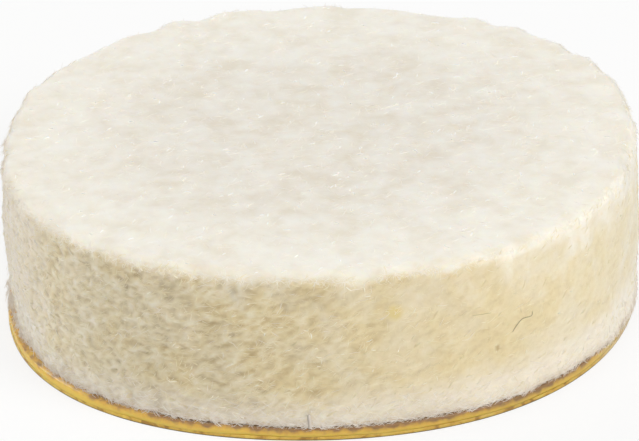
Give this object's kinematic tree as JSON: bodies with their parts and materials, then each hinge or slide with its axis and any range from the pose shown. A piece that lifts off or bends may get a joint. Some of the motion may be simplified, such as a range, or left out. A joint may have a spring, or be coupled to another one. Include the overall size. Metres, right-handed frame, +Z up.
{
  "type": "felt furniture pad",
  "caption": "Round self-adhesive pad of thick pressed wool felt, on an adhesive film and its release liner, that is stuck under a furniture leg to protect the floor.",
  "frame": {"origin": "centre of the release liner's underside, the face that the pad lies on and is stuck by once the liner is peeled off", "axes": "+Z up through the pad's thickness to the felt wear face; X and Y lie in the pad's plane, which is round, so their direction is free"},
  "size_m": [0.0199, 0.0198, 0.0056],
  "materials": {
    "wool_felt": "pressed off-white wool felt, fuzzy cut wall",
    "adhesive": "clear amber adhesive film, tacky gloss",
    "liner": "golden siliconised release paper, smooth satin"
  },
  "bodies": {
    "root": {"felt_disc": "wool_felt", "adhesive_film": "adhesive", "release_liner": "liner"}
  },
  "joints": []
}
